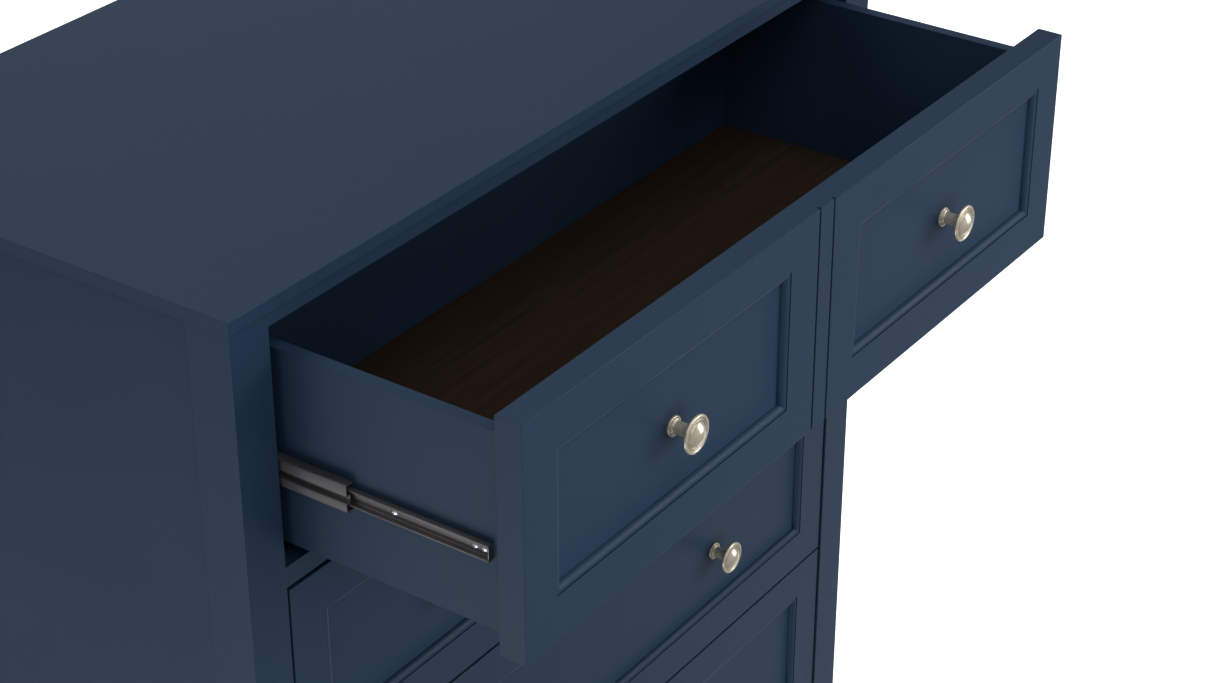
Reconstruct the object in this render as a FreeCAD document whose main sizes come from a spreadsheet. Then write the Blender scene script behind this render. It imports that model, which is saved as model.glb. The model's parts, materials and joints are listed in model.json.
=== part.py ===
import FreeCAD, Part
import os
import re
import Sketcher

# A floor-standing cabinet with four full-width inset drawers.
# Frame: +Z up, the front faces -Y, the origin is on the floor below the middle of the top panel.
# Depths below the upper surface are turned into heights with overall_height.

SIZES = [
    ("overall_height", 1067, "floor to the upper surface"),
    ("top_width", 968, "top panel, side to side"),
    ("top_depth", 508, "top panel, front to back"),
    ("top_thick", 12.7, "top panel thickness"),
    ("arris", 0.6, "radius that eases the edges of the boards"),
    ("drill_spare", 1, "how far a drilled hole runs past a face"),
    ("side_overhang", 1.1, "top panel beyond the posts at each side"),
    ("front_overhang", 1.5, "top panel beyond the posts at the front"),
    ("post_side", 45, "square corner post"),
    ("glide_high", 5, "leg glide height"),
    ("glide_radius", 11, "leg glide radius"),
    ("panel_thick", 12, "side panel thickness"),
    ("panel_setback", 9, "side panel behind the posts' outer faces"),
    ("back_thick", 6, "back panel thickness"),
    ("back_setback", 6, "back panel in from the rear face"),
    ("floor_thick", 12, "bottom panel thickness"),
    ("rail_thick", 19, "face frame rails, front to back"),
    ("rail_setback", 0.8, "rails behind the posts' front faces"),
    ("top_rail_high", 12.1, "rail under the top panel"),
    ("top_rail_gap", 0.4, "shadow gap between the top panel and its rail"),
    ("first_opening", 226.4, "height of the first drawer's opening"),
    ("middle_rail_high", 19.5, "rail below the first drawer"),
    ("bottom_rail_high", 40, "rail below the last drawer"),
    ("bottom_rail_gap", 4, "gap between the last front and the bottom rail"),
    ("rear_rail_high", 80, "rail across the back"),
    ("fixing_spacing", 406.4, "distance between the wall fixing holes"),
    ("fixing_radius", 2.5, "wall fixing hole radius"),
    ("front_width", 868.7, "drawer front, side to side"),
    ("front_high", 219, "drawer front height"),
    ("front_thick", 25.4, "drawer front with its applied frame"),
    ("front_setback", 1.2, "closed drawer front behind the posts' front faces"),
    ("first_front_top", 31, "upper edge of the first front, below the upper surface"),
    ("second_front_top", 276, "upper edge of the second front, below the upper surface"),
    ("front_gap", 3, "gap between the lower fronts"),
    ("frame_thick", 6.4, "applied frame thickness"),
    ("stile_wide", 42, "outer stiles"),
    ("upper_rail_wide", 41, "upper rail of the applied frame"),
    ("lower_rail_wide", 42, "lower rail of the applied frame"),
    ("mullion_wide", 23.2, "strip between the two grooves, centre to centre"),
    ("inner_stile_wide", 44, "from a groove's centre to the panel beside it"),
    ("groove_wide", 2.5, "groove width"),
    ("groove_deep", 3, "groove depth"),
    ("quirk_wide", 1, "gap between the frame and the moulding"),
    ("quirk_deep", 1.6, "bottom of that gap below the frame's face"),
    ("bead_top", 0.6, "top of the moulding below the frame's face"),
    ("bead_flat", 0.8, "flat on top of the moulding"),
    ("bead_wide", 7.5, "moulding width"),
    ("bead_foot", 0.8, "upright step at the moulding's foot"),
    ("knob_base_radius", 9.25, "knob base"),
    ("knob_base_high", 2.6, "knob base thickness"),
    ("knob_neck_radius", 5.9, "knob neck"),
    ("knob_shoulder", 1.6, "slope from the base to the neck"),
    ("knob_neck_end", 14, "where the neck begins to flare"),
    ("knob_flare", 9.5, "radius of the flare under the head"),
    ("knob_lip", 3.4, "rim beyond the flare"),
    ("knob_edge", 1.1, "slope at the rim's two edges"),
    ("knob_head_radius", 17.4, "knob head"),
    ("knob_under", 20.5, "underside of the head's rim"),
    ("knob_rim", 24, "front of the head's rim"),
    ("knob_ring_wide", 3.6, "raised ring at the head's rim"),
    ("knob_groove", 0.9, "depth of the groove inside the ring"),
    ("knob_out", 29.4, "whole projection"),
    ("knob_bolt_radius", 2, "bolt that holds the knob"),
    ("bolt_head_radius", 4.5, "bolt head"),
    ("bolt_head_high", 2.4, "bolt head thickness"),
    ("knob_bore_deep", 11, "bolt's reach into the knob"),
    ("slide_space", 12.5, "between the opening's edge and the drawer box"),
    ("box_wall", 12, "thickness of the box's boards"),
    ("box_drop", 20.6, "box's upper edge below the front's upper edge"),
    ("box_high", 183.5, "height of the box's sides"),
    ("box_long", 352.3, "box from the front's back face to its rear face"),
    ("bottom_up", 11.6, "bottom board above the sides' lower edges"),
    ("bottom_thick", 6, "bottom board thickness"),
    ("bottom_tongue", 5, "bottom board's reach into the sides"),
    ("slide_drop", 129.8, "slide's centre line below the front's upper edge"),
    ("steel", 1.2, "thickness of the slides' steel"),
    ("inner_high", 14.6, "drawer member height"),
    ("inner_deep", 6.9, "drawer member depth"),
    ("inner_start", 10.3, "drawer member's front end behind the front"),
    ("inner_long", 335, "drawer member length"),
    ("middle_high", 25.7, "middle member height"),
    ("middle_deep", 9.1, "middle member depth"),
    ("middle_band_up", 10.7, "middle member's upper band"),
    ("middle_band_low", 8.7, "middle member's lower band"),
    ("middle_fold", 4.4, "depth of the fold between the bands"),
    ("middle_out", 2.7, "middle member's face from the opening's edge"),
    ("middle_start", 26.9, "middle member's front end behind the closed front"),
    ("middle_long", 320, "middle member length"),
    ("outer_high", 36, "cabinet member height"),
    ("outer_deep", 10.4, "cabinet member depth"),
    ("outer_start", 14, "cabinet member's front end behind the closed front"),
    ("outer_long", 335, "cabinet member length"),
    ("ball_high", 3, "ball retainer height"),
    ("ball_deep", 4, "ball retainer depth"),
    ("retainer_long", 70, "ball retainer length"),
    ("retainer_margin", 12, "ball retainer in from the middle member's end"),
    ("outer_row", 1.5, "outer ball row behind the middle member's face"),
    ("inner_row", 4, "inner ball row behind the middle member's face"),
    ("cleat_high", 60, "cleat height"),
    ("screw_head", 3.3, "slide screw head radius"),
    ("screw_head_high", 1.7, "slide screw head height"),
    ("screw_radius", 1.8, "slide screw shank radius"),
    ("screw_long", 9, "slide screw shank length"),
    ("screw_one", 7.6, "first screw behind the drawer member's end"),
    ("screw_two", 16.5, "second screw behind the drawer member's end"),
    ("screw_three", 95.7, "third screw behind the drawer member's end"),
    ("first_open", 241.4, "how far the first drawer stands open"),
]

DRAWERS = (1, 2, 3, 4)
SIDES = (("left", -1), ("right", 1))
SIGNS = (-1, 1)
# lengths that many placements use, written in the sheet's names
OPENING = "(top_width / 2 - side_overhang - post_side)"
POST_FACE = "(-top_depth / 2 + front_overhang)"
CLOSED_FACE = f"({POST_FACE} + front_setback)"
CLOSED_BACK = f"({CLOSED_FACE} + front_thick)"
BOX_HALF = f"({OPENING} - slide_space)"
RAIL_FACE = f"({POST_FACE} + rail_setback)"
LAST_BOTTOM = "(second_front_top + 3 * front_high + 2 * front_gap)"
PANEL_HIGH = "(front_high - upper_rail_wide - lower_rail_wide)"
KNOB_DROP = f"(upper_rail_wide + {PANEL_HIGH} / 2)"
PANEL_INNER = "(mullion_wide / 2 + inner_stile_wide)"
PANEL_OUTER = "(front_width / 2 - stile_wide)"
KNOB_X = f"(({PANEL_INNER} + {PANEL_OUTER}) / 2)"
BOX_INSIDE = f"({BOX_HALF} - box_wall)"
APRON_TOP = f"({LAST_BOTTOM} + bottom_rail_gap)"
APRON_BOTTOM = f"({APRON_TOP} + bottom_rail_high)"
BETWEEN_POSTS = "(top_depth - front_overhang - 2 * post_side)"

doc = FreeCAD.newDocument("cabinet")
sheet = doc.addObject("Spreadsheet::Sheet", "Sizes")
for row, (alias, value, note) in enumerate(SIZES, start=1):
    sheet.set(f"A{row}", note)
    sheet.set(f"B{row}", str(value))
    sheet.setAlias(f"B{row}", alias)
doc.recompute()
known = re.compile(r"\b(" + "|".join(alias for alias, value, note in SIZES) + r")\b")
nodes = []


def in_sheet(text):
    # the same expression, with each size read from the spreadsheet
    return known.sub(r"Sizes.\1", text)


def bind(item, prop, text):
    item.setExpression(prop, in_sheet(text))


def place(item, at):
    for axis, text in zip("xyz", at):
        bind(item, f".Placement.Base.{axis}", text)


def value_of(text):
    return float(sheet.evalExpression(text))


def keep(item, label):
    # marks an object as a sub-part with its node name
    item.Label = label
    nodes.append(item)
    return item


def new_body(name):
    return doc.addObject("PartDesign::Body", name)


def plane_of(body, role):
    return next(item for item in body.Origin.OriginFeatures if item.Role == role)


def board(name, size, at):
    # a rectangular board with eased edges
    body = new_body(name)
    sawn = body.newObject("PartDesign::AdditiveBox", "Sawn")
    for prop, text in zip(("Length", "Width", "Height"), size):
        bind(sawn, prop, text)
    ease = body.newObject("PartDesign::Fillet", "Ease")
    ease.Base = (sawn, [""])
    ease.UseAllEdges = True
    bind(ease, "Radius", "arris")
    place(body, at)
    return body


def block(size, at):
    # a plain block, used to cut and to trim
    item = doc.addObject("Part::Box", "Block")
    for prop, text in zip(("Length", "Width", "Height"), size):
        bind(item, prop, text)
    place(item, at)
    return item


def rod(radius, length, at, turn):
    # a plain cylinder along the axis that turn gives it
    item = doc.addObject("Part::Cylinder", "Rod")
    item.Placement.Rotation = turn
    bind(item, "Radius", radius)
    bind(item, "Height", length)
    place(item, at)
    return item


def joined(kind, name, parts):
    # a fuse, a common or a compound of several objects
    item = doc.addObject(kind, name)
    if kind == "Part::Compound":
        item.Links = parts
    else:
        item.Shapes = parts
    return item


def cut(name, base, tool):
    item = doc.addObject("Part::Cut", name)
    item.Base = base
    item.Tool = tool
    return item


def notch(body, size, at):
    # takes a rectangular bite out of a body, in the body's own frame
    bite = body.newObject("PartDesign::SubtractiveBox", "Notch")
    for prop, text in zip(("Length", "Width", "Height"), size):
        bind(bite, prop, text)
    place(bite, at)
    return bite


def drill(body, radius, length, at, turn):
    # a round hole in a body, in the body's own frame
    hole = body.newObject("PartDesign::SubtractiveCylinder", "Drilled")
    hole.Placement.Rotation = turn
    bind(hole, "Radius", radius)
    bind(hole, "Height", length)
    place(hole, at)
    return hole


def outline(body, role, points):
    # a closed sketch through points given as pairs of expressions, the solid on the left;
    # a third expression makes the line that arrives at a point an arc of that radius,
    # which bulges outwards where it is positive and inwards where it is negative
    sketch = body.newObject("Sketcher::SketchObject", "Outline")
    sketch.AttachmentSupport = [(plane_of(body, role), "")]
    sketch.MapMode = "FlatFace"
    spots = [FreeCAD.Vector(value_of(item[0]), value_of(item[1]), 0) for item in points]
    ends = []
    for index, item in enumerate(points):
        start = spots[index - 1]
        end = spots[index]
        if len(item) == 3:
            radius = value_of(item[2])
            chord = end - start
            sag = abs(radius) - (radius ** 2 - (chord.Length / 2) ** 2) ** 0.5
            outwards = FreeCAD.Vector(chord.y, -chord.x, 0).normalize()
            middle = (start + end) * 0.5 + outwards * (sag if radius > 0 else -sag)
            sketch.addGeometry(Part.Arc(start, middle, end))
        else:
            sketch.addGeometry(Part.LineSegment(start, end))
        in_order = sketch.getPoint(index, 2).distanceToPoint(end) < 1e-6
        ends.append((1, 2) if in_order else (2, 1))
    for index, item in enumerate(points):
        first, last = ends[index]
        spot = spots[index]
        for way, text, value in (("DistanceX", item[0], spot.x), ("DistanceY", item[1], spot.y)):
            rule = sketch.addConstraint(Sketcher.Constraint(way, -1, 1, index, last, value))
            bind(sketch, f"Constraints[{rule}]", text)
        following = (index + 1) % len(points)
        sketch.addConstraint(Sketcher.Constraint("Coincident", index, last, following, ends[following][0]))
        if len(item) == 3:
            rule = sketch.addConstraint(Sketcher.Constraint("Radius", index, abs(value_of(item[2]))))
            bind(sketch, f"Constraints[{rule}]", f"abs({item[2]})")
    return sketch


ALONG_X = FreeCAD.Rotation(FreeCAD.Vector(0, 1, 0), 90)
AGAINST_X = FreeCAD.Rotation(FreeCAD.Vector(0, 1, 0), -90)
ALONG_Y = FreeCAD.Rotation(FreeCAD.Vector(1, 0, 0), -90)
AGAINST_Y = FreeCAD.Rotation(FreeCAD.Vector(1, 0, 0), 90)
UPRIGHT = FreeCAD.Rotation()


def front_top(number):
    # depth of a drawer front's upper edge below the upper surface
    if number == 1:
        return "first_front_top"
    return f"(second_front_top + {number - 2} * (front_high + front_gap))"


def travel(number):
    # how far a drawer stands open as it is modelled
    return "first_open" if number == 1 else "0"


def height_of(depth):
    # turns a depth below the upper surface into a height
    return f"overall_height - ({depth})"


# cabinet

def make_posts_and_panels():
    keep(board("Top", ("top_width", "top_depth", "top_thick"),
               ("-top_width / 2", "-top_depth / 2", "overall_height - top_thick")), "top_panel")
    for depth_name, y in (("front", POST_FACE), ("rear", "top_depth / 2 - post_side")):
        for side_name, sign in SIDES:
            x = f"{sign} * ({OPENING} + post_side / 2) - post_side / 2"
            post = board("Post", ("post_side", "post_side", "overall_height - top_thick - glide_high"),
                         (x, y, "glide_high"))
            keep(post, f"post_{depth_name}_{side_name}")
    for side_name, sign in SIDES:
        middle = f"{sign} * ({OPENING} + post_side - panel_setback - panel_thick / 2)"
        panel = block(("panel_thick", BETWEEN_POSTS, f"{APRON_BOTTOM} - top_thick"),
                      (f"{middle} - panel_thick / 2", f"{POST_FACE} + post_side", height_of(APRON_BOTTOM)))
        keep(panel, f"side_panel_{side_name}")
    wide = f"2 * {OPENING}"
    back_face = "(top_depth / 2 - back_setback - back_thick)"
    keep(block((wide, "back_thick", f"{APRON_BOTTOM} - top_thick - rear_rail_high"),
               (f"-{OPENING}", back_face, height_of(APRON_BOTTOM))), "back_panel")
    floor_long = f"{back_face} - {RAIL_FACE} - rail_thick"
    keep(block((wide, floor_long, "floor_thick"),
               (f"-{OPENING}", f"{RAIL_FACE} + rail_thick", height_of(APRON_BOTTOM))), "bottom_panel")


def make_rails():
    wide = f"2 * {OPENING}"
    rails = (
        ("top_rail", "(top_thick + top_rail_gap)", "top_rail_high"),
        ("middle_rail", "(top_thick + top_rail_gap + top_rail_high + first_opening)", "middle_rail_high"),
        ("bottom_rail", APRON_TOP, "bottom_rail_high"),
    )
    for label, depth, high in rails:
        keep(block((wide, "rail_thick", high),
                   (f"-{OPENING}", RAIL_FACE, height_of(f"{depth} + {high}"))), label)
    rear_face = "top_depth / 2 - rail_thick"
    rail = block((wide, "rail_thick", "rear_rail_high"),
                 (f"-{OPENING}", rear_face, height_of("top_thick + rear_rail_high")))
    holes = []
    for sign in SIGNS:
        holes.append(rod("fixing_radius", "rail_thick + 2 * drill_spare",
                         (f"{sign} * fixing_spacing / 2", f"{rear_face} - drill_spare",
                          height_of("top_thick + rear_rail_high / 2")), ALONG_Y))
    keep(cut("RearRail", rail, joined("Part::MultiFuse", "Holes", holes)), "rear_rail")


def make_glides():
    glides = []
    for y in (f"{POST_FACE} + post_side / 2", "top_depth / 2 - post_side / 2"):
        for sign in SIGNS:
            glides.append(rod("glide_radius", "glide_high",
                              (f"{sign} * ({OPENING} + post_side / 2)", y, "0"), UPRIGHT))
    keep(joined("Part::Compound", "Glides", glides), "leg_glides")


# slides: every depth is counted from the opening's edge towards the drawer

def slide_member(name, number, sign, points, start, long, moved):
    # one steel section along Y at a drawer's slide line
    body = new_body(name)
    towards_drawer = -sign
    turned = [(f"{towards_drawer} * ({point[0]})", point[1]) for point in points]
    section = body.newObject("PartDesign::Pad", "Length")
    section.Profile = outline(body, "XZ_Plane", turned if sign < 0 else turned[::-1])
    section.Reversed = True
    bind(section, "Length", long)
    place(body, (f"{sign} * {OPENING}", f"{CLOSED_BACK} + {start} - {moved}",
                 height_of(f"{front_top(number)} + slide_drop")))
    return body


def channel(web, lip, high, steel="steel"):
    # a C: its web's outer face at web, its two flanges reaching to lip
    return [
        (web, f"-{high} / 2"),
        (lip, f"-{high} / 2"),
        (lip, f"-{high} / 2 + steel"),
        (f"{web} + {steel}", f"-{high} / 2 + steel"),
        (f"{web} + {steel}", f"{high} / 2 - steel"),
        (lip, f"{high} / 2 - steel"),
        (lip, f"{high} / 2"),
        (web, f"{high} / 2"),
    ]


def folded_channel():
    # a C whose web has a fold between an upper and a lower band
    web = "middle_out"
    lip = "middle_out + middle_deep"
    low = "-middle_high / 2 + middle_band_low"
    up = "middle_high / 2 - middle_band_up"
    return [
        (web, "-middle_high / 2"),
        (lip, "-middle_high / 2"),
        (lip, "-middle_high / 2 + steel"),
        (f"{web} + steel", "-middle_high / 2 + steel"),
        (f"{web} + steel", f"{low} - steel"),
        (f"{web} + middle_fold + steel", f"{low} - steel"),
        (f"{web} + middle_fold + steel", f"{up} + steel"),
        (f"{web} + steel", f"{up} + steel"),
        (f"{web} + steel", "middle_high / 2 - steel"),
        (lip, "middle_high / 2 - steel"),
        (lip, "middle_high / 2"),
        (web, "middle_high / 2"),
        (web, up),
        (f"{web} + middle_fold", up),
        (f"{web} + middle_fold", low),
        (web, low),
    ]


def retainers(number, sign):
    # ball retainers above and below the middle member, outside it at the rear and inside it at the front
    made = []
    spots = (
        ("middle_out + outer_row", "middle_high / 2", "middle_long - retainer_long - retainer_margin"),
        ("middle_out + inner_row", "middle_high / 2 - steel - ball_high", "retainer_margin"),
    )
    for depth, rise, along in spots:
        for low in (f"({rise})", f"(-({rise}) - ball_high)"):
            near = f"{sign} * {OPENING} - {sign} * ({depth} + ball_deep / 2) - ball_deep / 2"
            made.append(block(("ball_deep", "retainer_long", "ball_high"),
                              (near, f"{CLOSED_BACK} + middle_start - {travel(number)} / 2 + {along}",
                               f"overall_height - ({front_top(number)} + slide_drop) + {low}")))
    return made


def make_slides(number):
    # the members between one drawer and the cabinet; returns the cabinet's own
    middles = []
    inners = []
    outers = []
    for sign in SIGNS:
        outers.append(slide_member("CabinetMember", number, sign, channel("0", "outer_deep", "outer_high"),
                                   "outer_start", "outer_long", "0"))
        middles.append(slide_member("MiddleMember", number, sign, folded_channel(),
                                    "middle_start", "middle_long", f"{travel(number)} / 2"))
        middles += retainers(number, sign)
        section = channel("slide_space", "slide_space - inner_deep", "inner_high", "-steel")[::-1]
        inner = slide_member("DrawerMember", number, sign, section,
                             "inner_start", "inner_long", travel(number))
        for screw in ("screw_one", "screw_two", "screw_three"):
            drill(inner, "screw_radius", "3 * steel",
                  (f"{-sign} * (slide_space - 2 * steel)", screw, "0"), ALONG_X if sign < 0 else AGAINST_X)
        inners.append(inner)
    keep(joined("Part::Compound", "Middles", middles), f"slide_{number}_middle_members")
    keep(joined("Part::Compound", "Inners", inners), f"drawer_{number}_slide_members")
    return outers


def make_cabinet_members(outers):
    keep(joined("Part::Compound", "Outers", outers), "slide_cabinet_members")
    cleats = []
    thick = "(post_side - panel_setback - panel_thick)"
    for number in DRAWERS:
        for sign in SIGNS:
            cleats.append(block((thick, BETWEEN_POSTS, "cleat_high"),
                                (f"{sign} * ({OPENING} + {thick} / 2) - {thick} / 2",
                                 f"{POST_FACE} + post_side",
                                 height_of(f"{front_top(number)} + slide_drop + cleat_high / 2"))))
    keep(joined("Part::Compound", "Cleats", cleats), "slide_cleats")


# drawers

def panels_of(number):
    # left edge and width of each recessed panel in a drawer front
    if number == 1:
        wide = f"({PANEL_OUTER} - {PANEL_INNER})"
        return [(f"-{PANEL_OUTER}", wide), (PANEL_INNER, wide)]
    return [(f"-{PANEL_OUTER}", f"2 * {PANEL_OUTER}")]


def make_front(number):
    top = front_top(number)
    face = f"{CLOSED_FACE} - {travel(number)}"
    low = height_of(f"{top} + front_high")
    blank = board("Blank", ("front_width", "front_thick", "front_high"), ("-front_width / 2", face, low))
    if number == 1:
        for sign in SIGNS:
            notch(blank, ("groove_wide", "groove_deep", "front_high"),
                  (f"front_width / 2 + {sign} * mullion_wide / 2 - groove_wide / 2", "0", "0"))
    slab_block = block(("front_width", "front_thick - frame_thick", "front_high"),
                       ("-front_width / 2", f"{face} + frame_thick", low))
    whole_slab = joined("Part::MultiCommon", "Slab", [blank, slab_block])
    holes = []
    for sign in SIGNS:
        holes.append(rod("knob_bolt_radius", "front_thick",
                         (f"{sign} * {KNOB_X}", face, height_of(f"{top} + {KNOB_DROP}")), ALONG_Y))
    slab = cut("DrilledSlab", whole_slab, joined("Part::MultiFuse", "Holes", holes))
    keep(slab, f"drawer_{number}_front_slab")
    above = height_of(f"{top} + upper_rail_wide")
    inside = height_of(f"{top} + front_high - lower_rail_wide")
    pieces = [
        (("front_width", "upper_rail_wide"), ("-front_width / 2", above)),
        (("front_width", "lower_rail_wide"), ("-front_width / 2", low)),
        (("stile_wide", PANEL_HIGH), ("-front_width / 2", inside)),
        (("stile_wide", PANEL_HIGH), ("front_width / 2 - stile_wide", inside)),
    ]
    if number == 1:
        pieces.append(((f"2 * {PANEL_INNER}", PANEL_HIGH), (f"-{PANEL_INNER}", inside)))
    strips = []
    for (wide, high), (x, z) in pieces:
        trim = block((wide, "frame_thick", high), (x, face, z))
        strips.append(joined("Part::MultiCommon", "Strip", [blank, trim]))
    keep(joined("Part::Compound", "Frame", strips), f"drawer_{number}_front_frame")
    rings = [moulding_ring(x, wide, face, inside) for x, wide in panels_of(number)]
    keep(joined("Part::Compound", "Mouldings", rings), f"drawer_{number}_moulding")


def inset_block(x, wide, low, inset, face, start, end):
    # a block as large as a panel opening less an inset all round, between two depths
    return block((f"{wide} - 2 * {inset}", f"{end} - {start}", f"{PANEL_HIGH} - 2 * {inset}"),
                 (f"{x} + {inset}", f"{face} + {start}", f"{low} + {inset}"))


def moulding_ring(x, wide, face, low):
    # a sloping moulding round a panel opening, with a narrow gap beside the frame
    foot = inset_block(x, wide, low, "0", face, "quirk_deep", "frame_thick")
    crest = inset_block(x, wide, low, "quirk_wide", face, "bead_top", "quirk_deep")
    floor = inset_block(x, wide, low, "bead_wide", face, "(frame_thick - bead_foot)", "frame_thick")
    slope = doc.addObject("Part::Wedge", "Slope")
    near = "(quirk_wide + bead_flat)"
    bounds = (
        ("Xmin", near), ("Xmax", f"{wide} - {near}"), ("Zmin", near), ("Zmax", f"{PANEL_HIGH} - {near}"),
        ("Ymin", "bead_top"), ("Ymax", "frame_thick - bead_foot"),
        ("X2min", "bead_wide"), ("X2max", f"{wide} - bead_wide"),
        ("Z2min", "bead_wide"), ("Z2max", f"{PANEL_HIGH} - bead_wide"),
    )
    for prop, text in bounds:
        bind(slope, prop, text)
    place(slope, (x, face, low))
    outside = joined("Part::MultiFuse", "Outside", [foot, crest])
    hollow = joined("Part::MultiFuse", "Hollow", [slope, floor])
    return cut("Ring", outside, hollow)


def make_box(number):
    top = front_top(number)
    back = f"{CLOSED_BACK} - {travel(number)}"
    under = height_of(f"{top} + box_drop + box_high")
    for side_name, sign in SIDES:
        side = board("Side", ("box_wall", "box_long", "box_high"),
                     (f"{sign} * ({BOX_HALF} - box_wall / 2) - box_wall / 2", back, under))
        groove_x = "box_wall - bottom_tongue" if sign < 0 else "0"
        notch(side, ("bottom_tongue", "box_long", "bottom_thick"), (groove_x, "0", "bottom_up"))
        for screw in ("screw_one", "screw_two", "screw_three"):
            drill(side, "screw_radius", "screw_long",
                  ("0" if sign < 0 else "box_wall", f"inner_start + {screw}",
                   "box_drop + box_high - slide_drop"),
                  ALONG_X if sign < 0 else AGAINST_X)
        keep(side, f"drawer_{number}_side_{side_name}")
    end_high = "(box_high - bottom_up - bottom_thick)"
    ends = []
    for y in ("0", "box_long - box_wall"):
        ends.append(board("End", (f"2 * {BOX_INSIDE}", "box_wall", end_high),
                          (f"-{BOX_INSIDE}", f"{back} + {y}", f"{under} + bottom_up + bottom_thick")))
    for sign in SIGNS:
        drill(ends[0], "knob_bolt_radius", "box_wall",
              (f"{BOX_INSIDE} + {sign} * {KNOB_X}", "0", f"box_drop + {end_high} - {KNOB_DROP}"), ALONG_Y)
    keep(joined("Part::Compound", "Ends", ends), f"drawer_{number}_box_ends")
    keep(block((f"2 * ({BOX_INSIDE} + bottom_tongue)", "box_long", "bottom_thick"),
               (f"-{BOX_INSIDE} - bottom_tongue", back, f"{under} + bottom_up")), f"drawer_{number}_bottom")


def knob_outline():
    # radius and distance in front of the panel, from the tip of the head back to the bore
    inner = "(knob_head_radius - knob_ring_wide - knob_edge)"
    rise = "(knob_out - knob_rim + knob_groove)"
    return [
        ("0", "-knob_out"),
        (inner, "-(knob_rim - knob_groove)", f"({inner} ^ 2 + {rise} ^ 2) / (2 * {rise})"),
        ("knob_head_radius - knob_ring_wide", "-knob_rim"),
        ("knob_head_radius - knob_edge", "-knob_rim"),
        ("knob_head_radius", "-knob_rim + knob_edge"),
        ("knob_head_radius", "-knob_under - knob_edge"),
        ("knob_head_radius - knob_lip", "-knob_under"),
        ("knob_neck_radius", "-knob_neck_end", "-knob_flare"),
        ("knob_neck_radius", "-knob_base_high - knob_shoulder"),
        ("knob_base_radius - knob_shoulder", "-knob_base_high"),
        ("knob_base_radius", "-knob_base_high + knob_edge"),
        ("knob_base_radius", "0"),
        ("knob_bolt_radius", "0"),
        ("knob_bolt_radius", "-knob_bore_deep"),
        ("0", "-knob_bore_deep"),
    ]


def make_knobs(number):
    knobs = []
    for sign in SIGNS:
        body = new_body("Knob")
        turned = body.newObject("PartDesign::Revolution", "Turned")
        profile = outline(body, "XY_Plane", knob_outline())
        turned.Profile = profile
        turned.ReferenceAxis = (profile, ["V_Axis"])
        turned.Angle = 360
        place(body, (f"{sign} * {KNOB_X}", f"{CLOSED_FACE} + frame_thick - {travel(number)}",
                     height_of(f"{front_top(number)} + {KNOB_DROP}")))
        knobs.append(body)
    keep(joined("Part::Compound", "Knobs", knobs), f"drawer_{number}_knobs")


def headed(radius, long, head_radius, head_high, at, along, against):
    # a round-headed fastener whose shank and head leave one point in opposite directions
    shank = rod(radius, long, at, along)
    head = rod(head_radius, head_high, at, against)
    return joined("Part::MultiFuse", "Fastener", [shank, head])


def make_screws(number):
    top = front_top(number)
    back = f"{CLOSED_BACK} - {travel(number)}"
    screws = []
    for sign in SIGNS:
        inwards, outwards = (ALONG_X, AGAINST_X) if sign < 0 else (AGAINST_X, ALONG_X)
        for screw in ("screw_one", "screw_two", "screw_three"):
            at = (f"{sign} * ({OPENING} - slide_space + steel)", f"{back} + inner_start + {screw}",
                  height_of(f"{top} + slide_drop"))
            screws.append(headed("screw_radius", "steel + screw_long", "screw_head", "screw_head_high",
                                 at, inwards, outwards))
        at = (f"{sign} * {KNOB_X}", f"{back} + box_wall", height_of(f"{top} + {KNOB_DROP}"))
        screws.append(headed("knob_bolt_radius", "box_wall + front_thick - frame_thick + knob_bore_deep",
                             "bolt_head_radius", "bolt_head_high", at, AGAINST_Y, ALONG_Y))
    keep(joined("Part::Compound", "Screws", screws), f"drawer_{number}_screws")


make_posts_and_panels()
make_rails()
make_glides()
cabinet_members = []
for number in DRAWERS:
    cabinet_members += make_slides(number)
    make_front(number)
    make_box(number)
    make_knobs(number)
    make_screws(number)
make_cabinet_members(cabinet_members)

doc.recompute()
for item in doc.Objects:
    if "Invalid" in item.State or "Error" in item.State:
        raise RuntimeError(f"{item.Name} ({item.Label}) did not build: {item.State}")
for item in nodes:
    if item.Shape.isNull() or not item.Shape.isValid() or item.Shape.Volume <= 0:
        raise RuntimeError(f"{item.Label} has no valid shape")

os.makedirs("parts", exist_ok=True)
for item in nodes:
    item.Shape.exportStep(f"parts/{item.Label}.step")
    box = item.Shape.BoundBox
    print(f"{item.Label:28s} {len(item.Shape.Solids):3d} solids {item.Shape.Volume / 1000:10.2f} cm3  "
          f"x {box.XMin:.1f} {box.XMax:.1f}  y {box.YMin:.1f} {box.YMax:.1f}  "
          f"z {box.ZMin:.1f} {box.ZMax:.1f}")
print(len(nodes), "nodes")
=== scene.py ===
import json
import math

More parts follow.
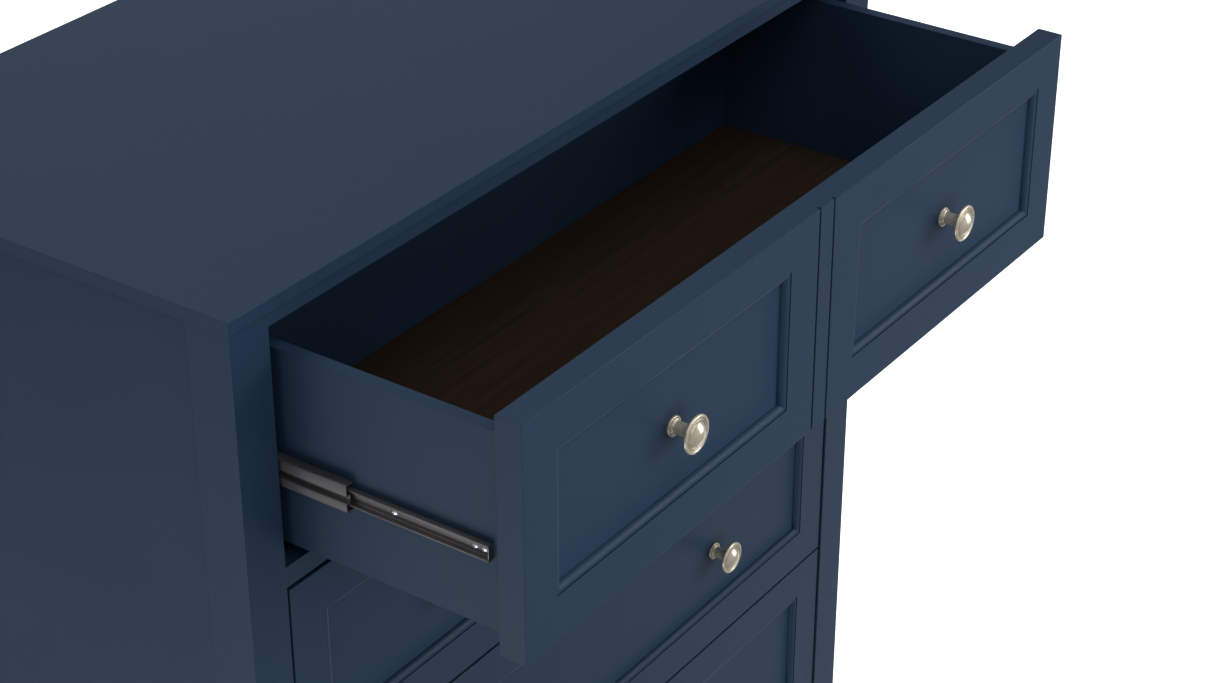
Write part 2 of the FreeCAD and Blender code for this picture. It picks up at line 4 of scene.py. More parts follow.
import bpy
import numpy as np
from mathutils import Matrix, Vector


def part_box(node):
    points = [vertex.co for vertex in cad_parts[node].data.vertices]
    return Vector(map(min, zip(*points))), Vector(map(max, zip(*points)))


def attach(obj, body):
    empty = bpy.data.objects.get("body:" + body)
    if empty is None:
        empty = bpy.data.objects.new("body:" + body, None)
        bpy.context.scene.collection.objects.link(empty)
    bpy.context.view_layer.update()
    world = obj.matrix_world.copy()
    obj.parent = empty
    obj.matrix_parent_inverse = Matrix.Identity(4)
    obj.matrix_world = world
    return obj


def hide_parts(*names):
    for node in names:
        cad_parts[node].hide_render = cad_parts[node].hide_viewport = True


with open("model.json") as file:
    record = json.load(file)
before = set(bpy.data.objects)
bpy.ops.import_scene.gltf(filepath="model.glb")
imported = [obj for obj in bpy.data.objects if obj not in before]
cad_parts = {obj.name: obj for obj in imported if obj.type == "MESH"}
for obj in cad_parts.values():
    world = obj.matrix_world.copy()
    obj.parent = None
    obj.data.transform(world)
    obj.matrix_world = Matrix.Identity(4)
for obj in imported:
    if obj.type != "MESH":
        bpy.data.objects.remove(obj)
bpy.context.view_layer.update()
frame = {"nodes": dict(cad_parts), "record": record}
cadNodes = frame["nodes"]
milli = 0.001
drawerNumbers = (1, 2, 3, 4)
print("frame loaded:", len(cadNodes), "nodes")


class Value:
    # one output of a node, which ordinary arithmetic turns into Math nodes
    def __init__(self, finish, socket):
        self.finish = finish
        self.socket = socket

    def maths(self, operation, first, second):
        return self.finish.node("Math", {"operation": operation}, {0: first, 1: second})

    def __add__(self, other):
        return self.maths("ADD", self, other)

    def __mul__(self, other):
        return self.maths("MULTIPLY", self, other)

    __radd__ = __add__
    __rmul__ = __mul__


class Finish:
    # one material and the nodes that make it
    def __init__(self, name):
        self.material = bpy.data.materials.new(name)
        self.material.use_nodes = True
        self.tree = self.material.node_tree
        self.tree.nodes.clear()

    def node(self, kind, settings=None, sockets=None, result=0):
        # settings first, because some of them change which sockets there are
        made = self.tree.nodes.new("ShaderNode" + kind)
        for name, setting in (settings or {}).items():
            setattr(made, name, setting)
        for name, value in (sockets or {}).items():
            if isinstance(value, Value):
                self.tree.links.new(value.socket, made.inputs[name])
            elif made.inputs[name].type == "RGBA" and len(value) == 3:
                made.inputs[name].default_value = (*value, 1)
            else:
                made.inputs[name].default_value = value
        return Value(self, made.outputs[result]) if len(made.outputs) else None

    def place(self, stretch=(1, 1, 1)):
        # the point on the object, in metres, times a stretch for each axis
        spot = self.node("TexCoord", result="Object")
        return self.node("Mapping", {}, {"Vector": spot, "Scale": stretch})

    def noise(self, where, scale, detail=3, roughness=0.5):
        return self.node("TexNoise", {}, {"Vector": where, "Scale": scale, "Detail": detail,
                                          "Roughness": roughness}, "Fac")

    def between(self, value, low, high, start=0.0, end=1.0):
        # a value from low..high brought to start..end and held there
        return self.node("MapRange", {"clamp": True}, {"Value": value, "From Min": low, "From Max": high,
                                                       "To Min": start, "To Max": end})

    def tint(self, amount, first, second):
        return self.node("Mix", {"data_type": "RGBA"}, {0: amount, 6: first, 7: second}, 2)

    def bump(self, height, strength, distance):
        return self.node("Bump", {}, {"Height": height, "Strength": strength, "Distance": distance},
                         "Normal")

    def surface(self, sockets):
        self.node("OutputMaterial", {}, {"Surface": self.node("BsdfPrincipled", {}, sockets)})
        return self.material


paint = {
    "colour": (0.0125, 0.0295, 0.059),
    "worn": (0.0140, 0.0325, 0.064),
    "gloss": 0.15,
    "roughness": 0.5,
    "roughnessRange": 0.05,
    "peelScale": 620,
    "peelStrength": 0.05,
    "peelDeep": 0.2,
    "speckScale": 1612,
    "cloudScale": 5.5,
}


def navyPaint():
    # sprayed satin paint: faint clouds in the colour and the fine peel of a sprayed coat
    made = Finish("navyPaint")
    where = made.place()
    clouds = made.noise(where, paint["cloudScale"], 4, 0.55)
    peel = made.noise(where, paint["peelScale"], 2, 0.5)
    specks = made.noise(where, paint["speckScale"], 1, 0.4)
    colour = made.tint(made.between(clouds, 0.35, 0.65) * 0.7 + made.between(specks, 0.3, 0.7) * 0.3,
                       paint["colour"], paint["worn"])
    half = paint["roughnessRange"]
    rough = made.between(clouds * 0.6 + specks * 0.4, 0.3, 0.7, paint["roughness"] - half,
                         paint["roughness"] + half)
    return made.surface({"Base Color": colour, "Roughness": rough, "Specular IOR Level": paint["gloss"],
                         "Normal": made.bump(peel, paint["peelStrength"], paint["peelDeep"] * milli)})


board = {
    "dark": (0.024, 0.0145, 0.0088),
    "light": (0.034, 0.0205, 0.0125),
    "grain": (2.2, 46.0, 46.0),
    "pores": (14.0, 420.0, 420.0),
    "roughness": (0.56, 0.70),
    "gloss": 0.1,
    "poreDeep": 0.3,
}


def brownBoard():
    # a faced board with a faint long grain across the drawer
    made = Finish("brownBoard")
    grain = made.noise(made.place(board["grain"]), 3.0, 6, 0.6)
    pores = made.noise(made.place(board["pores"]), 2.0, 2, 0.5)
    colour = made.tint(made.between(grain, 0.32, 0.68) * 0.8 + made.between(pores, 0.45, 0.7) * 0.2,
                       board["dark"], board["light"])
    rough = made.between(grain, 0.3, 0.7, *board["roughness"])
    return made.surface({"Base Color": colour, "Roughness": rough, "Specular IOR Level": board["gloss"],
                         "Normal": made.bump(grain * 0.6 + pores * 0.4, 0.08, board["poreDeep"] * milli)})


softwood = {
    "early": (0.50, 0.36, 0.22),
    "late": (0.34, 0.21, 0.11),
    "stretch": (26.0, 1.4, 26.0),
    "ringScale": 1.8,
    "wander": 5.0,
    "sway": (2, 1, 2),
    "fibre": (900, 12, 900),
    "fibreDeep": 0.2,
    "roughness": (0.62, 0.78),
}


def bareSoftwood():
    # planed softwood: long bands of early and late wood along Y
    made = Finish("bareSoftwood")
    where = made.place(softwood["stretch"])
    sway = made.noise(made.place(softwood["sway"]), 2.0, 2)
    rings = made.node("TexWave", {"wave_type": "BANDS", "bands_direction": "Z"},
                      {"Vector": where, "Scale": softwood["ringScale"], "Distortion": softwood["wander"],
                       "Detail": 2.0, "Phase Offset": sway * 4}, "Fac")
    fibre = made.noise(made.place(softwood["fibre"]), 1.0, 2)
    colour = made.tint(rings * 0.75 + fibre * 0.25, softwood["early"], softwood["late"])
    rough = made.between(fibre, 0.3, 0.7, *softwood["roughness"])
    return made.surface({"Base Color": colour, "Roughness": rough,
                         "Normal": made.bump(fibre, 0.1, softwood["fibreDeep"] * milli)})


nickel = {
    "colour": (0.66, 0.60, 0.49),
    "shade": (0.55, 0.495, 0.40),
    "metal": 0.62,
    "roughness": (0.20, 0.33),
    "cloudScale": 90,
    "lineStrength": 0.1,
    "lineDeep": 0.05,
    "roundScale": 1.2,
    "alongScale": 5200,
}


def brushedNickel():
    # metal brushed on a lathe: the lines run round the axis, so they follow the brushed attribute
    made = Finish("brushedNickel")
    along = made.node("Attribute", {"attribute_name": "brushed"}, {}, "Vector")
    lines = made.noise(along, 1.0, 4, 0.7)
    clouds = made.noise(made.place(), nickel["cloudScale"], 3)
    colour = made.tint(made.between(lines * 0.6 + clouds * 0.4, 0.3, 0.7), nickel["colour"], nickel["shade"])
    rough = made.between(lines, 0.25, 0.75, *nickel["roughness"])
    return made.surface({"Base Color": colour, "Metallic": nickel["metal"], "Roughness": rough,
                         "Normal": made.bump(lines, nickel["lineStrength"], nickel["lineDeep"] * milli)})


steel = {
    "colour": (0.20, 0.192, 0.200),
    "shade": (0.125, 0.119, 0.121),
    "metal": 0.8,
    "roughness": (0.29, 0.45),
    "lines": (1500, 9, 1500),
    "smears": (60, 14, 60),
    "lineDeep": 0.05,
}


def darkSteel():
    # plated strip steel with long drawing lines along Y and a few paler rubs
    made = Finish("darkSteel")
    lines = made.noise(made.place(steel["lines"]), 1.0, 3, 0.6)
    smears = made.noise(made.place(steel["smears"]), 1.0, 3, 0.6)
    colour = made.tint(made.between(lines * 0.5 + smears * 0.5, 0.32, 0.68), steel["colour"], steel["shade"])
    rough = made.between(smears, 0.3, 0.7, *steel["roughness"])
    return made.surface({"Base Color": colour, "Metallic": steel["metal"], "Roughness": rough,
                         "Normal": made.bump(lines, 0.1, steel["lineDeep"] * milli)})


zinc = {
    "colour": (0.74, 0.76, 0.78),
    "shade": (0.60, 0.62, 0.65),
    "cloudScale": 700,
    "roughness": (0.2, 0.34),
}


def brightZinc():
    # bright plated screws with fine clouds
    made = Finish("brightZinc")
    clouds = made.noise(made.place(), zinc["cloudScale"], 3)
    colour = made.tint(made.between(clouds, 0.3, 0.7), zinc["colour"], zinc["shade"])
    return made.surface({"Base Color": colour, "Metallic": 1.0,
                         "Roughness": made.between(clouds, 0.3, 0.7, *zinc["roughness"])})


plastic = {
    "colour": (0.018, 0.018, 0.019),
    "pale": (0.032, 0.032, 0.033),
    "grainScale": 1800,
    "grainDeep": 0.1,
    "roughness": (0.5, 0.62),
}


def blackPlastic():
    # moulded plastic with a fine grain
    made = Finish("blackPlastic")
    grain = made.noise(made.place(), plastic["grainScale"], 2)
    colour = made.tint(grain, plastic["colour"], plastic["pale"])
    return made.surface({"Base Color": colour,
                         "Roughness": made.between(grain, 0.3, 0.7, *plastic["roughness"]),
                         "Normal": made.bump(grain, 0.15, plastic["grainDeep"] * milli)})


finishes = {
    "navy_paint": navyPaint(),
    "brown_board": brownBoard(),
    "bare_wood": bareSoftwood(),
    "brushed_nickel": brushedNickel(),
    "slide_steel": darkSteel(),
    "zinc_screws": brightZinc(),
    "glide_plastic": blackPlastic(),
}
print("finishes made:", len(finishes))

slotOfNode = {entry["node"]: entry["material_slot"] for entry in frame["record"]["subparts"]}
for name, item in cadNodes.items():
    item.data.materials.clear()
    item.data.materials.append(finishes[slotOfNode[name]])


def newPiece(name, points, faces, slot, body, smooth=35):
    # a mesh object at the origin with the finish of its slot, on the body that it rides on
    mesh = bpy.data.meshes.new(name)
    mesh.from_pydata(np.asarray(points).tolist(), [], [list(face) for face in faces])
    mesh.update()
    mesh.shade_smooth()
    mesh.set_sharp_from_angle(angle=math.radians(smooth))
    piece = bpy.data.objects.new(name, mesh)
    bpy.context.scene.collection.objects.link(piece)
    mesh.materials.append(finishes[slot])
    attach(piece, body)
    return piece


def gridFaces(rows, columns, closeColumns=False):
    # quads between neighbouring rows and columns of a grid, wrapped round where the columns close
    steps = columns if closeColumns else columns - 1
    row, column = np.meshgrid(np.arange(rows - 1), np.arange(steps), indexing="ij")
    here = row * columns + column
    beside = row * columns + (column + 1) % columns
    return np.stack([here, beside, beside + columns, here + columns], -1).reshape(-1, 4)


def gathered(parts):
    # several (points, faces) pairs as one
    points = np.concatenate([part[0] for part in parts])
    faces = []
    start = 0
    for spots, sides in parts:
        faces += [[start + index for index in side] for side in sides]
        start += len(spots)
    return points, faces


def arc(centre, radius, fromAngle, toAngle, count):
    # points on a circle: centre plus radius times (cosine, sine), angles in degrees
    angles = np.radians(np.linspace(fromAngle, toAngle, count))
    return np.array(centre) + radius * np.stack([np.cos(angles), np.sin(angles)], -1)


def turned(profile, centre, axis, around=64):
    # a lathe form: radius and height from the profile, swept round the axis through centre;
    # its first and last profile points lie on the axis, so that it is closed
    profile = np.asarray(profile, float)
    axis = np.asarray(axis, float)
    first = np.cross(axis, (0, 0, 1) if abs(axis[2]) < 0.9 else (1, 0, 0))
    first /= np.linalg.norm(first)
    second = np.cross(axis, first)
    ring = profile[1:-1]
    angles = np.linspace(0, 2 * math.pi, around, endpoint=False)
    way = np.cos(angles)[:, None] * first + np.sin(angles)[:, None] * second
    points = ring[:, None, 0, None] * way[None] + ring[:, None, 1, None] * axis
    points = points.reshape(-1, 3)
    ends = profile[[0, -1], 1][:, None] * axis
    points = np.concatenate([points, ends]) + np.asarray(centre, float)
    faces = gridFaces(len(ring), around, True)[:, ::-1].tolist()
    here = np.arange(around)
    beside = (here + 1) % around
    tip = np.full(around, len(points) - 2)
    last = (len(ring) - 1) * around
    fans = np.stack([tip, here, beside, tip + 1, last + beside, last + here], -1)
    return points, faces + fans.reshape(-1, 3).tolist()


def brushing(profile, around):
    # for each point that turned makes, its place in the brushing: X and Y turn slowly with the
    # direction round the axis, and Z runs fast with the distance along the profile
    ring = np.asarray(profile, float)[1:-1]
    angles = np.linspace(0, 2 * math.pi, around, endpoint=False)
    length = np.concatenate([[0], np.cumsum(np.linalg.norm(np.diff(ring, axis=0), axis=1))])
    grain = np.stack([np.tile(np.cos(angles) * nickel["roundScale"], len(ring)),
                      np.tile(np.sin(angles) * nickel["roundScale"], len(ring)),
                      np.repeat(length, around) * nickel["alongScale"]], -1)
    return np.concatenate([grain, grain[[0, -1]]])


knob = {
    "around": 72,
    "baseRadius": 9.25,
    "domeRadius": 11.2,
    "domeRise": 5.2,
    "wallOut": 0.1,
    "wallTop": 0.2,
    "ringRadius": 12.85,
    "ringThick": 0.5,
    "ringSunk": 0.1,
    "grooveDeep": 1.5,
    "grooveWide": 0.5,
    "beadThick": 1.65,
    "beadProud": 0.2,
    "underHead": (15.1, 20.6),
    "neckRadius": 5.9,
    "neckSpan": (8.5, 4.6),
    "waist": 0.1,
    "coveRadius": 8.1,
    "coveTop": 20.5,
    "filletRadius": 0.9,
    "filletHigh": 4.4,
    "collarRadius": 7.1,
    "collarThick": 0.65,
    "collarHigh": 2.9,
    "stepWide": (0.4, 0.8),
    "stepHigh": 1.5,
    "baseThick": 0.9,
    "baseHigh": 1.6,
    "baseEase": (0.25, 0.4),
    "boreSpare": 0.1,
    "boreDeep": 11.0,
    "boreClear": 1.0,
}


def knobProfile(headRadius, projection):
    # from the tip inwards: a domed cap, a thin ring between two grooves, a round bead at the rim, a cove
    # down to the neck, a collar and a base with a rounded edge; radius and height above the panel
    k = knob
    radius, rise = k["domeRadius"], k["domeRise"]
    curve = (radius ** 2 + rise ** 2) / (2 * rise)
    spread = math.degrees(math.asin(radius / curve))
    rim = projection - rise
    thick = k["beadThick"]
    collar = k["collarRadius"]
    bore = boltShape["shank"] + k["boreSpare"]
    low = rim - k["grooveDeep"]
    ringIn = k["ringRadius"] - k["ringThick"]
    ringOut = k["ringRadius"] + k["ringThick"]
    neck = k["neckRadius"]
    base = k["baseRadius"]
    return np.concatenate([
        arc((0, projection - curve), curve, 90, 90 - spread, 22),
        [[radius + k["wallOut"], rim - k["wallTop"]], [radius + k["wallOut"], low], [ringIn, low]],
        arc((k["ringRadius"], rim - k["ringSunk"] - k["ringThick"]), k["ringThick"], 180, 0, 9),
        [[ringOut, low], [ringOut + k["grooveWide"], low]],
        arc((headRadius - thick, rim + k["beadProud"] - thick), thick, 165, -75, 20),
        [k["underHead"]],
        arc((neck + k["coveRadius"], k["coveTop"] - k["coveRadius"]), k["coveRadius"], 92, 180, 16),
        [[neck - k["waist"], k["neckSpan"][0]], [neck, k["neckSpan"][1]]],
        arc((neck + k["filletRadius"], k["filletHigh"]), k["filletRadius"], 180, 265, 6),
        arc((collar, k["collarHigh"]), k["collarThick"], 100, -60, 9),
        [[collar + wide, k["stepHigh"]] for wide in k["stepWide"]],
        arc((base - k["baseThick"], k["baseHigh"]), k["baseThick"], 125, 0, 9),
        [[base, k["baseEase"][1]], [base - k["baseEase"][0], 0.0], [bore, 0.0], [bore, k["boreDeep"]],
         [0.0, k["boreDeep"]]],
    ])


def makeKnobs(number):
    # two knobs standing on the panels, with their brushing in an attribute
    low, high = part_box(f"drawer_{number}_knobs")
    headRadius = (high.z - low.z) / 2
    panelFace = high.y
    height = (high.z + low.z) / 2
    profile = knobProfile(headRadius / milli, (high.y - low.y) / milli) * milli
    around = knob["around"]
    points, faces = gathered([turned(profile, (across, panelFace, height), (0, -1, 0), around)
                              for across in (low.x + headRadius, high.x - headRadius)])
    piece = newPiece(f"knobs{number}", points, faces, "brushed_nickel", f"drawer_{number}", 40)
    brushed = piece.data.attributes.new("brushed", "FLOAT_VECTOR", "POINT")
    grain = np.tile(brushing(profile, around), (2, 1))
    brushed.data.foreach_set("vector", grain.astype(np.float32).ravel())
    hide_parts(f"drawer_{number}_knobs")


front = {
    "stile": 42.0,
    "upperRail": 41.0,
    "lowerRail": 42.0,
    "mullion": 23.2,
    "innerStile": 44.0,
    "grooveWide": 2.5,
    "grooveDeep": 4.0,
    "ease": 0.7,
    "grooveEase": 0.3,
}


def boxPart(low, high):
    # the eight corners and six outward faces of a block
    corners = np.array([[x, y, z] for x in (low[0], high[0]) for y in (low[1], high[1])
                        for z in (low[2], high[2])])
    faces = [[0, 1, 3, 2], [4, 6, 7, 5], [0, 4, 5, 1], [2, 3, 7, 6], [0, 2, 6, 4], [1, 5, 7, 3]]
    return corners, faces


def panelSpans(number, half):
    # the left and right edge of each recessed panel
    outer = half - front["stile"] * milli
    if number > 1:
        return [(-outer, outer)]
    inner = (front["mullion"] / 2 + front["innerStile"]) * milli
    return [(-outer, -inner), (inner, outer)]


def frontStrips(number, low, high):
    # rails across the whole front and stiles between them; the top drawer's rails and its middle
    # piece are divided at two grooves, whose floors are further strips set back from the face
    railSpans = [(low.x, high.x)]
    grooves = []
    if number == 1:
        half = front["grooveWide"] * milli / 2
        middles = [side * front["mullion"] * milli / 2 for side in (-1, 1)]
        grooves = [(middle - half, middle + half) for middle in middles]
        railSpans = [(low.x, grooves[0][0]), (grooves[0][1], grooves[1][0]), (grooves[1][1], high.x)]
    railTop = high.z - front["upperRail"] * milli
    railLow = low.z + front["lowerRail"] * milli
    strips = []
    for left, right in railSpans:
        strips.append(((left, low.y, railTop), (right, high.y, high.z)))
        strips.append(((left, low.y, low.z), (right, high.y, railLow)))
    spans = panelSpans(number, high.x)
    stiles = [(low.x, spans[0][0]), (spans[-1][1], high.x)]
    if number == 1:
        stiles += [(spans[0][1], grooves[0][0]), (grooves[0][1], grooves[1][0]),
                   (grooves[1][1], spans[1][0])]
    for left, right in stiles:
        strips.append(((left, low.y, railLow), (right, high.y, railTop)))
    floors = [((left, low.y + front["grooveDeep"] * milli, low.z), (right, high.y, high.z))
              for left, right in grooves]
    return strips, floors, grooves


def endsAt(pair, axis, *places):
    # whether each end of an edge lies at one of these places on an axis, to a thousandth of a millimetre
    return (np.abs(pair[:, :, axis, None] - places) < 0.001 * milli).any(2).all(1)


def makeFrontFrame(number):
    # the strips as blocks, with a weighted bevel round the face, along the grooves, and on each edge
    # between two corners of the front: those that run back, and the long rear ones of a whole rail
    node = f"drawer_{number}_front_frame"
    low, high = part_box(node)
    strips, floors, grooves = frontStrips(number, low, high)
    points, faces = gathered([boxPart(*strip) for strip in strips + floors])
    piece = newPiece(f"frontFrame{number}", points, faces, "navy_paint", f"drawer_{number}", 40)
    mesh = piece.data
    indices = np.zeros(len(mesh.edges) * 2, np.int32)
    mesh.edges.foreach_get("vertices", indices)
    pair = points[indices.reshape(-1, 2)]
    onFace = endsAt(pair, 1, low.y)
    sides = endsAt(pair, 0, low.x) | endsAt(pair, 0, high.x)
    ends = endsAt(pair, 2, low.z) | endsAt(pair, 2, high.z)
    betweenCorners = endsAt(pair, 0, low.x, high.x) & endsAt(pair, 2, low.z, high.z)
    groove = np.zeros(len(pair), bool)
    for edge in np.ravel(grooves):
        groove |= onFace & endsAt(pair, 0, edge)
    eased = onFace & (sides | ends) | betweenCorners
    weight = np.where(eased, 1.0, np.where(groove, front["grooveEase"] / front["ease"], 0.0))
    bevelWeight = mesh.attributes.new("bevel_weight_edge", "FLOAT", "EDGE")
    bevelWeight.data.foreach_set("value", weight.astype(np.float32))
    ease = piece.modifiers.new("ease", "BEVEL")
    ease.width = front["ease"] * milli
    ease.segments = 3
    ease.limit_method = "WEIGHT"
    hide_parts(node)


moulding = {
    "quirk": 0.6,
    "quirkDeep": 2.8,
    "crest": 0.65,
    "crestRound": 0.3,
    "crestFlat": 0.5,
    "width": 7.4,
    "foot": 0.3,
}


def mouldingProfile(depth):
    # inset from the frame and depth below its face, in millimetres: a quirk, a rounded crest, and an
    # ovolo, which is a quarter of an ellipse that steepens towards the panel; closed behind
    m = moulding
    start = m["quirk"]
    rounded = m["crestRound"]
    crest = arc((start + rounded, m["crest"] + rounded), rounded, 180, 270, 6)
    swing = np.radians(np.linspace(0, 90, 14))[:, None]
    top = start + rounded + m["crestFlat"]
    wide = m["width"] - top
    fall = depth - m["foot"] - m["crest"]
    ovolo = np.concatenate([top + wide * np.sin(swing), m["crest"] + fall * (1 - np.cos(swing))], 1)
    return np.concatenate([[[0.0, depth], [0.0, m["quirkDeep"]], [start, m["quirkDeep"]]], crest, ovolo,
                           [[m["width"], depth]]])


def mouldingStick(profile, corners, inward, face):
    # the profile carried along one side of a panel opening, cut at 45 degrees at both ends
    begin, finish = (np.asarray(corner, float) for corner in corners)
    along = (finish - begin) / np.linalg.norm(finish - begin)
    inset = profile[:, :1] * milli
    ends = []
    for corner, way in ((begin, 1), (finish, -1)):
        flat = corner + inset * (np.asarray(inward) + way * along)
        flat[:, 1] = face + profile[:, 1] * milli
        ends.append(flat)
    points = np.concatenate(ends)
    count = len(profile)
    here = np.arange(count)
    beside = (here + 1) % count
    sides = np.stack([here, here + count, beside + count, beside], -1).tolist()
    return points, sides + [here.tolist(), (here + count)[::-1].tolist()]


def makeMouldings(number):
    # four sticks round each recessed panel
    node = f"drawer_{number}_moulding"
    low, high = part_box(node)
    frameLow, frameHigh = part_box(f"drawer_{number}_front_frame")
    profile = mouldingProfile((high.y - frameLow.y) / milli)
    inwards = [(0, 0, 1), (-1, 0, 0), (0, 0, -1), (1, 0, 0)]
    parts = []
    for left, right in panelSpans(number, frameHigh.x):
        corners = [(left, 0, low.z), (right, 0, low.z), (right, 0, high.z), (left, 0, high.z)]
        for inward, begin, finish in zip(inwards, corners, corners[1:] + corners[:1]):
            parts.append(mouldingStick(profile, (begin, finish), inward, frameLow.y))
    points, faces = gathered(parts)
    piece = newPiece(f"moulding{number}", points, faces, "navy_paint", f"drawer_{number}", 30)
    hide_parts(node)


sheetSteel = {
    "thick": 1.2,
    "bend": 1.1,
    "turnSteps": 6,
    "rimSteps": 5,
}


def bentPath(corners, bend):
    # a middle line with each inner corner rounded: along the arc its direction turns evenly,
    # and the arc starts bend * tan(half the turn) before the corner; returns points and left normals
    corners = np.asarray(corners, float)
    ways = np.diff(corners, axis=0)
    ways /= np.linalg.norm(ways, axis=1)[:, None]
    spots = [corners[:1]]
    normals = [np.array([[-ways[0, 1], ways[0, 0]]])]
    for corner, before, after in zip(corners[1:-1], ways[:-1], ways[1:]):
        turn = math.atan2(before[0] * after[1] - before[1] * after[0], float(before @ after))
        angles = math.atan2(before[1], before[0]) + np.linspace(0, turn, sheetSteel["turnSteps"])
        left = np.stack([-np.sin(angles), np.cos(angles)], -1)
        side = math.copysign(bend, turn)
        centre = corner - before * bend * math.tan(abs(turn) / 2) + left[0] * side
        spots.append(centre - left * side)
        normals.append(left)
    spots.append(corners[-1:])
    normals.append(np.array([[-ways[-1, 1], ways[-1, 0]]]))
    return np.concatenate(spots), np.concatenate(normals)


def sheetOutline(corners, bend):
    # the middle line moved half the sheet's thickness to each side, with half-round rims at its ends;
    # the rims are half circles from the left side round to the right one
    spots, normals = bentPath(corners, bend)
    half = sheetSteel["thick"] / 2
    swing = np.linspace(0, math.pi, sheetSteel["rimSteps"] + 2)[1:-1, None]
    rims = []
    for spot, normal in ((spots[-1], normals[-1]), (spots[0], -normals[0])):
        forward = np.array([normal[1], -normal[0]])
        rims.append(spot + half * (np.cos(swing) * normal + np.sin(swing) * forward))
    sides = spots + normals * half, (spots - normals * half)[::-1]
    return np.concatenate([sides[0], rims[0], sides[1], rims[1]]), len(spots)


def sheetStrip(corners, bend, wall, side, height, start, end):
    # a bent section carried along Y: depth is counted from the opening's wall towards the drawer
    outlinePoints, count = sheetOutline(corners, bend)
    total = len(outlinePoints)
    rims = sheetSteel["rimSteps"]
    across = wall - side * outlinePoints[:, 0] * milli
    upward = height + outlinePoints[:, 1] * milli
    points = np.concatenate([np.stack([across, np.full(total, y), upward], -1) for y in (start, end)])
    here = np.arange(count - 1)
    mirror = 2 * count + rims - 1 - here
    caps = np.stack([here, here + 1, mirror - 1, mirror], -1).tolist()
    caps.append(list(range(count - 1, count + rims + 1)))
    caps.append(list(range(2 * count + rims - 1, total)) + [0])
    faces = gridFaces(2, total, True).tolist() + [[total + index for index in cap] for cap in caps]
    faces += [cap[::-1] for cap in caps]
    if side > 0:
        faces = [face[::-1] for face in faces]
    return points, faces


slide = {
    "outerDeep": 10.4,
    "outerHigh": 36.0,
    "middleFace": 2.7,
    "middleDeep": 9.1,
    "middleHigh": 25.7,
    "upperBand": 10.7,
    "lowerBand": 8.7,
    "fold": 4.4,
    "foldBend": 0.75,
    "boxFace": 12.5,
    "innerDeep": 6.9,
    "innerHigh": 14.6,
    "stopDeep": 5.0,
    "stopBehind": 0.3,
    "stopThick": 1.0,
}
retainer = {
    "long": 70.0,
    "deep": 3.6,
    "thick": 0.7,
    "ballRadius": 1.45,
    "ballSides": 10,
    "ballGap": 8.4,
    "outside": (4.2, 14.35),
    "inside": (6.7, 10.15),
    "margin": 12.0,
}


def channelLine(web, lip, high):
    # the middle line of a C: from one lip along its flange, up the web and back; its rims are half round
    half = sheetSteel["thick"] / 2
    inward = math.copysign(half, lip - web)
    return [(lip - inward, half - high / 2), (web + inward, half - high / 2),
            (web + inward, high / 2 - half), (lip - inward, high / 2 - half)]


def foldedLine():
    # the same, with a fold of the web towards the drawer between its upper and lower band
    s = slide
    half = sheetSteel["thick"] / 2
    line = channelLine(s["middleFace"], s["middleFace"] + s["middleDeep"], s["middleHigh"])
    shallow = s["middleFace"] + half
    deep = shallow + s["fold"]
    low = s["lowerBand"] - s["middleHigh"] / 2 - half
    high = s["middleHigh"] / 2 - s["upperBand"] + half
    return line[:2] + [(shallow, low), (deep, low), (deep, high), (shallow, high)] + line[2:]


def ballRow(wall, side, height, spot, start, long):
    # a retainer strip with its row of balls, at a depth and height in the slide
    depth, rise = spot
    across = wall - side * depth * milli
    upward = height + rise * milli
    half = np.array([retainer["deep"] / 2, 0, retainer["thick"] / 2]) * milli
    low = np.array([across, start, upward]) - half
    parts = [boxPart(low, low + 2 * half + (0, long, 0))]
    radius = retainer["ballRadius"] * milli
    ball = arc((0, 0), radius, 90, -90, 7)
    gap = retainer["ballGap"] * milli
    for index in range(int(long / gap)):
        centre = (across, start + (index + 0.5) * gap, upward)
        parts.append(turned(ball, centre, (0, -1, 0), retainer["ballSides"]))
    return parts


def makeMiddleMembers(number, wall, height):
    # the folded member on both sides, with ball rows outside it at the rear and inside it in front
    low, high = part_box(f"slide_{number}_middle_members")
    parts = []
    long = retainer["long"] * milli
    margin = retainer["margin"] * milli
    for side in (-1, 1):
        parts.append(sheetStrip(foldedLine(), slide["foldBend"], side * wall, side, height, low.y, high.y))
        for spot, start in ((retainer["outside"], high.y - long - margin),
                            (retainer["inside"], low.y + margin)):
            for way in (-1, 1):
                parts += ballRow(side * wall, side, height, (spot[0], way * spot[1]), start, long)
    points, faces = gathered(parts)
    piece = newPiece(f"middleMembers{number}", points, faces, "slide_steel", f"slide_{number}", 40)
    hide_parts(f"slide_{number}_middle_members")


def makeDrawerMembers(number, wall, height):
    # the channel on the drawer, with a pressed stop that closes its front end
    s = slide
    low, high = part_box(f"drawer_{number}_slide_members")
    line = channelLine(s["boxFace"], s["boxFace"] - s["innerDeep"], s["innerHigh"])[::-1]
    half = sheetSteel["thick"] / 2
    stopHalf = (s["innerHigh"] / 2 - sheetSteel["thick"]) * milli
    stopFront = low.y + s["stopBehind"] * milli
    parts = []
    for side in (-1, 1):
        parts.append(sheetStrip(line, sheetSteel["bend"], side * wall, side, height, low.y, high.y))
        near = side * wall - side * (s["boxFace"] - half) * milli
        far = near + side * s["stopDeep"] * milli
        parts.append(boxPart((min(near, far), stopFront, height - stopHalf),
                             (max(near, far), stopFront + s["stopThick"] * milli, height + stopHalf)))
    points, faces = gathered(parts)
    piece = newPiece(f"drawerMembers{number}", points, faces, "slide_steel", f"drawer_{number}", 40)
    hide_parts(f"drawer_{number}_slide_members")


